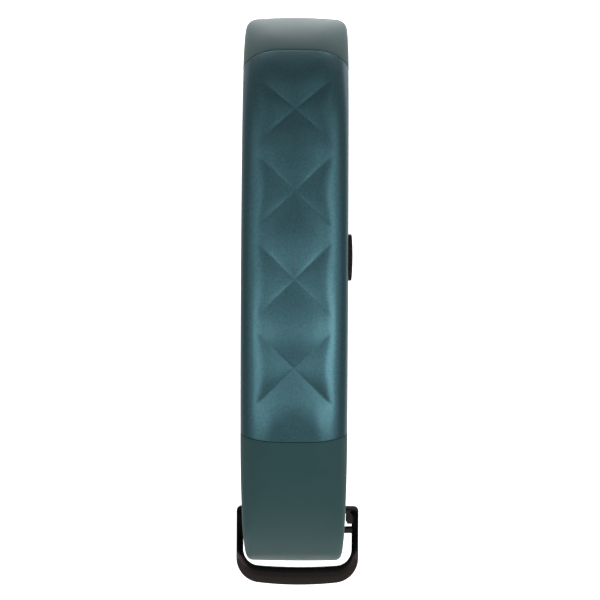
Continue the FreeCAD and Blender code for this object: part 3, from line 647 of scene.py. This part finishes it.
# ================================================================ straps
def notch_edges():
    """Start and end of each size notch, as lengths along the outer line. The notches are evenly
    spaced on the skin side, where the band is shorter by the ratio of the two radii."""
    outer_per_skin = END_RADIUS / (END_RADIUS - STRAP_THICK)
    middles = length_at(NOTCH_TURN) - NOTCH_PITCH * outer_per_skin * np.arange(NOTCH_COUNT)
    return middles[:, None] + np.array([-0.5, 0.5]) * NOTCH_LENGTH * outer_per_skin


def lower_strap():
    """Lower strap, from its tip at the back to the tracker, with a row of size notches in its skin
    side. The tip's corners are quarter ellipses. A notch's end wall is two cross-sections, close
    together on both sides of its edge."""
    edges = notch_edges()
    pairs = np.concatenate([edges - NOTCH_WALL / 2.0, edges + NOTCH_WALL / 2.0], axis=1).ravel()
    tip = length_at(TAIL_TURN + TIP_SPAN * (1 - np.sin(np.linspace(0.0, 1.4, 14))))
    turn, lip = stations(
        TAIL_TURN, MODULE_LOW - LOW_SEAM, LOWER_STRAP_STEP, LIP, np.concatenate([pairs, tip]))
    outer, thick, half, top, reach, low, crown = strap_sizes(
        turn, MODULE_LOW, LOWER_THIN_TURN, MODULE_LOW_THICK, 0.0 * turn, STRAP_THICK, LOWER_CROWN)
    into_tip = np.clip((TAIL_TURN + TIP_SPAN - turn) / TIP_SPAN, 0.0, 1.0)
    half = half - TIP_NARROWING * (1 - np.sqrt(1 - into_tip ** 2))
    x, depth = strap_section(outer, thick, half, top, reach, low, crown)
    x, depth = drawn(x, depth, lip)
    length = length_at(turn)
    in_notch = np.any((length > edges[:, 0]) & (length < edges[:, 1]), axis=1)[:, None]
    on_skin = (np.abs(x) < NOTCH_HALF_WIDTH) & (depth > thick / 2.0)
    depth = np.where(in_notch & on_skin, NOTCH_FLOOR, depth)
    swept("lower_strap_band", turn, x, depth, material=ELASTOMER, body="band", slot="strap_rubber",
          replaced=["lower_strap"])


def upper_strap():
    """Upper strap, from the tracker over the top and down the back to the lug."""
    turn, lip = stations(MODULE_HIGH + HIGH_SEAM, LUG_SEAM_TURN, UPPER_STRAP_STEP, LIP)
    outer = (STRAP_THICK + STRAP_GAP) * ease((turn - TUCK_START) / (TUCK_END - TUCK_START))
    sizes = strap_sizes(
        turn, MODULE_HIGH, UPPER_THIN_TURN, MODULE_HIGH_THICK, outer, INNER_STRAP_THICK, UPPER_CROWN)
    x, depth = drawn(*strap_section(*sizes), lip)
    swept("upper_strap_band", turn, x, depth, material=ELASTOMER, body="band", slot="strap_rubber",
          replaced=["upper_strap"])


def tail_keeper():
    """Keeper loop: a flat section with round edges carried round a rounded rectangle about both
    straps. The rectangle is a square's outline stretched to its half sizes, with each point beyond
    the corners' middles laid at the corner's radius from them. The section is a circle whose sines
    and cosines are raised to small powers, which squares it off."""
    straps = STRAP_THICK + STRAP_GAP + INNER_STRAP_THICK
    half_x = STRAP_HALF_WIDTH + KEEPER_PLAY + KEEPER_WALL / 2.0
    half_depth = (straps + KEEPER_LIFT) / 2.0
    reach_x, reach_depth = half_x - KEEPER_CORNER, half_depth - KEEPER_CORNER
    angle = np.linspace(0, 2 * math.pi, 97)[:-1][:, None]
    square = 1 / np.maximum(np.abs(np.cos(angle)), np.abs(np.sin(angle)))
    box_x = np.cos(angle) * square * half_x
    box_depth = np.sin(angle) * square * half_depth
    flat_x = np.clip(box_x, -reach_x, reach_x)
    flat_depth = np.clip(box_depth, -reach_depth, reach_depth)
    size = np.maximum(np.hypot(box_x - flat_x, box_depth - flat_depth), 1e-9)
    normal_x, normal_depth = (box_x - flat_x) / size, (box_depth - flat_depth) / size
    path_x = flat_x + KEEPER_CORNER * normal_x
    path_depth = straps / 2.0 + flat_depth + KEEPER_CORNER * normal_depth
    around = np.linspace(0, 2 * math.pi, 33)[:-1][None, :]
    cos, sin = np.cos(around), np.sin(around)
    wall_power, long_power = KEEPER_FLATNESS
    lift = KEEPER_WALL / 2 * np.sign(cos) * np.abs(cos) ** wall_power
    slide = KEEPER_HALF_LENGTH * np.sign(sin) * np.abs(sin) ** long_power
    turn = turn_at(length_at(KEEPER_TURN) + slide)
    points = place(turn, path_depth + lift * normal_depth, path_x + lift * normal_x)
    faces = grid_faces(points.shape[0], points.shape[1], wrap_rows=True)
    make_mesh("keeper_loop", points.reshape(-1, 3), [faces], ELASTOMER, "keeper", "strap_rubber",
              ["tail_keeper"])


# ================================================================ clasp frame
def frame_outline(half, low, high, low_round, high_round, bow):
    """A rounded rectangle as x and height above the pin, anticlockwise from the middle of its lower
    edge. That edge is a wide arc, and the lower corners' circles start at the lean it has reached."""
    lean = math.asin((half - low_round) / (bow - low_round))
    corner_height = low + bow - (bow - low_round) * math.cos(lean)
    along = np.linspace(0.0, lean, 24)
    low_corner = np.linspace(lean, math.pi / 2, 18)[1:]
    high_corner = np.linspace(0.0, math.pi / 2, 9)
    side = np.linspace(corner_height, high - high_round, 14)[1:-1]
    top = np.linspace(half - high_round, 0.0, 12)[1:]
    x = np.concatenate([
        bow * np.sin(along), half - low_round * (1 - np.sin(low_corner)), half + 0.0 * side,
        half - high_round * (1 - np.cos(high_corner)), top])
    height = np.concatenate([
        low + bow * (1 - np.cos(along)), corner_height - low_round * np.cos(low_corner), side,
        high - high_round * (1 - np.sin(high_corner)), high + 0.0 * top])
    return np.concatenate([x, -x[-2:0:-1]]), np.concatenate([height, height[-2:0:-1]])


def clasp_frame():
    """Clasp frame: a rectangular section carried round between the outside and the opening. Its edges
    are quarter circles, and a 45 degree bevel runs along the opening at the front."""
    out_x, out_height = frame_outline(
        FRAME_HALF_WIDTH, -FRAME_BELOW, FRAME_ABOVE, FRAME_LOW_ROUND, FRAME_HIGH_ROUND, FRAME_LOW_BOW)
    in_x, in_height = frame_outline(
        FRAME_HALF_WIDTH - FRAME_ARM, FRAME_LOW_BAR - FRAME_BELOW, FRAME_ABOVE - FRAME_TOP_BAR,
        FRAME_OPENING_ROUND, FRAME_OPENING_HIGH_ROUND, FRAME_OPENING_BOW)
    step_x, step_height = (out_x - in_x)[:, None], (out_height - in_height)[:, None]
    size = np.hypot(step_x, step_height)
    angle = np.linspace(0.0, 2 * math.pi, FRAME_COLUMNS + 1)[None, :-1] + math.pi / FRAME_COLUMNS
    side, front = np.sign(np.cos(angle)), np.sign(np.sin(angle))
    across = side * (size / 2.0 - FRAME_EDGE) + FRAME_EDGE * np.cos(angle)
    y = front * (FRAME_DEEP / 2.0 - FRAME_EDGE) + FRAME_EDGE * np.sin(angle)
    inner_front = np.clip((-across - size / 2.0 + FRAME_BEVEL) / FRAME_BEVEL, 0.0, 1.0)
    y = np.where(front < 0, np.maximum(y, -FRAME_DEEP / 2.0 + FRAME_BEVEL * inner_front), y)
    x = ((out_x + in_x) / 2.0)[:, None] + across * step_x / size
    height = ((out_height + in_height) / 2.0)[:, None] + across * step_height / size
    points = place(CLASP_TURN, PIN_DEPTH, x + FRAME_SHIFT)
    points[..., 1] += y
    points[..., 2] += height
    faces = grid_faces(points.shape[0], points.shape[1], wrap_rows=True)
    make_mesh("buckle_frame", points.reshape(-1, 3), [faces], BRONZE, "clasp", "clasp_metal",
              ["clasp_frame"])


def frame_hook():
    """Small hook beside the frame's right arm, above the pin: its outline carried straight through."""
    outline = np.array(HOOK_OUTLINE)
    count = len(outline)
    points = np.repeat(place(CLASP_TURN, PIN_DEPTH, outline[:, 0] + HOOK_SIDE)[None], 2, axis=0)
    points[..., 2] += outline[:, 1]
    points[..., 1] += np.array([-HOOK_DEEP / 2.0, HOOK_DEEP / 2.0])[:, None]
    around = np.arange(count)
    following = (around + 1) % count
    walls = np.stack([around, following, following + count, around + count], axis=-1)
    caps = [around[None, ::-1], around[None, :] + count]
    make_mesh("buckle_hook", points.reshape(-1, 3), [walls, *caps], BRONZE, "clasp", "clasp_metal")


top_cover()
rear_housing()
lower_strap()
upper_strap()
tail_keeper()
clasp_frame()
frame_hook()

# ================================================================ finishes of the frame's own pieces
FINISHES = {
    BRONZE: ["clasp_lug", "size_pawl", "clasp_pin"],
    BUTTON: ["side_button"],
    SILICONE: ["cover_gasket", "button_seal"],
    ELECTRODE: ["centre_electrode", "upper_electrode_a", "upper_electrode_b", "lower_electrode_a",
                "lower_electrode_b"],
    GOLD: ["charging_contacts"],
    WIRE: ["pawl_pin", "pawl_spring", "button_switch"],
    SHEET_STEEL: ["chassis", "upper_anchor", "lower_anchor"],
    BLACK_STEEL: ["anchor_screws", "lug_rivets"],
    SOLDER_MASK: ["main_board"],
    EPOXY: ["processor_chip", "motion_sensor", "skin_sensor_chip", "memory_chip"],
    TIN_CAN: ["radio_module", "vibration_motor"],
    POUCH: ["battery"],
    POLYIMIDE: ["upper_flex", "lower_flex", "contact_flex"],
    COPPER: ["antenna"],
    HOUSING: ["antenna_carrier"],
    DIFFUSER: ["status_leds", "light_guide"],
    NICKEL: ["charge_magnets"],
}
for finish, nodes in FINISHES.items():
    for node in nodes:
        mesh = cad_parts[node].data
        mesh.materials.clear()
        mesh.materials.append(finish)

# ================================================================ stage, light and camera
# Sizes from here on are in metres, and angles in degrees.
CAMERA_DISTANCE = 0.480
VIEW_WIDTH = 0.0675        # what the picture takes in at the cover's front
CAMERA_AZIMUTH = 0.2
CAMERA_ROLL = 0.3
AIM = Vector((0.000645, FRONT_Y * MM, -0.00127))
SENSOR_WIDTH = 36.0        # in millimetres, as the lens is
ROOM_LIGHT = 0.21          # how bright the plain white room is in reflections
FLOOR_Z = -0.55
FLOOR_HALF = 0.42
CARD_Y = 0.8
CARD_HALF = 0.3
CARD_TOP = 1.1
SOFTBOXES = (              # name, azimuth, elevation, distance, width, height and radiance
    ("key_right_tall", 41, 2, 0.7, 0.4, 0.9, 0.84),
    ("key_right_low", 41, -18, 0.7, 0.4, 0.42, 0.95),
    ("key_right_high", 38, 50, 0.7, 0.5, 0.36, 0.17),
    ("side_right", 68, 2, 0.7, 0.3, 1.1, 0.35),
    ("fill_left_tall", -42, 2, 0.7, 0.42, 1.0, 0.45),
    ("fill_left_low", -42, -18, 0.7, 0.42, 0.42, 0.62),
    ("fill_left_high", -32, 50, 0.7, 0.5, 0.3, 0.14),
    ("side_left", -70, 0, 0.7, 0.3, 1.1, 0.25),
    ("front_low", 0, -19, 0.9, 0.8, 0.4, 0.55),
    ("front_middle", 0, 5, 0.9, 0.8, 0.34, 0.32),
    ("front_high", 0, 30, 0.9, 0.7, 0.38, 0.13),
    ("rim_right", 138, 0, 0.8, 0.3, 0.9, 0.5),
    ("rim_left", -138, 0, 0.8, 0.3, 0.9, 0.2),
    ("overhead", 180, 43, 0.8, 0.6, 0.4, 4.8),
)


def plain_white(name, code, emission):
    """A matt stage material that also gives off a little light."""
    material = bpy.data.materials.new(name)
    material.use_nodes = True
    surface = material.node_tree.nodes["Principled BSDF"]
    surface.inputs["Base Color"].default_value = colour(code)
    surface.inputs["Roughness"].default_value = 0.8
    surface.inputs["Emission Color"].default_value = colour(code)
    surface.inputs["Emission Strength"].default_value = emission
    return material


def stage_plane(name, corners, material):
    """A four-cornered sheet of the stage, which is no part of the band."""
    mesh = bpy.data.meshes.new(name)
    mesh.from_pydata(corners, [], [(0, 1, 2, 3)])
    mesh.materials.append(material)
    plane = bpy.data.objects.new(name, mesh)
    bpy.context.scene.collection.objects.link(plane)


def softbox(name, azimuth, elevation, distance, width, height, radiance):
    """Area light that faces the band from a direction. Its power is pi times its area times how
    bright its face is."""
    around, up = math.radians(azimuth), math.radians(elevation)
    back = Vector((math.sin(around) * math.cos(up), -math.cos(around) * math.cos(up), math.sin(up)))
    data = bpy.data.lights.new(name, "AREA")
    data.shape = "RECTANGLE"
    data.size, data.size_y = width, height
    data.energy = math.pi * width * height * radiance
    light = bpy.data.objects.new(name, data)
    light.location = back * distance
    light.rotation_mode = "QUATERNION"
    light.rotation_quaternion = (-back).to_track_quat("-Z", "Y")
    bpy.context.scene.collection.objects.link(light)


stage_plane("floor", [(-FLOOR_HALF, -FLOOR_HALF, FLOOR_Z), (FLOOR_HALF, -FLOOR_HALF, FLOOR_Z),
                      (FLOOR_HALF, FLOOR_HALF, FLOOR_Z), (-FLOOR_HALF, FLOOR_HALF, FLOOR_Z)],
            plain_white("pale_floor", "F2F2F0", 0.05))
stage_plane("card_behind", [(-CARD_HALF, CARD_Y, FLOOR_Z), (CARD_HALF, CARD_Y, FLOOR_Z),
                            (CARD_HALF, CARD_Y, CARD_TOP), (-CARD_HALF, CARD_Y, CARD_TOP)],
            plain_white("white_card", "FFFFFF", 1.05))

for facts in SOFTBOXES:
    softbox(*facts)

world = bpy.data.worlds.new("studio")
bpy.context.scene.world = world
world.use_nodes = True
room = world.node_tree.nodes["Background"]
room.inputs["Color"].default_value = colour("FFFFFF")
seen = add(world, "ShaderNodeLightPath", {})
strength = add(world, "ShaderNodeMapRange", {
    "Value": seen.outputs["Is Camera Ray"], "To Min": ROOM_LIGHT, "To Max": 1.0})
world.node_tree.links.new(strength.outputs["Result"], room.inputs["Strength"])

bpy.context.scene.view_settings.view_transform = "Standard"

camera_data = bpy.data.cameras.new("camera")
camera_data.sensor_width = SENSOR_WIDTH
camera_data.lens = SENSOR_WIDTH * CAMERA_DISTANCE / VIEW_WIDTH
camera_data.clip_start = 0.01
camera_data.clip_end = 10.0
camera = bpy.data.objects.new("camera", camera_data)
turn_angle = math.radians(CAMERA_AZIMUTH)
towards = Vector((-math.sin(turn_angle), math.cos(turn_angle), 0.0))
camera.location = AIM - towards * CAMERA_DISTANCE
camera.rotation_mode = "QUATERNION"
camera.rotation_quaternion = towards.to_track_quat("-Z", "Y") @ Matrix.Rotation(
    math.radians(CAMERA_ROLL), 3, "Z").to_quaternion()
bpy.context.scene.collection.objects.link(camera)
bpy.context.scene.camera = camera
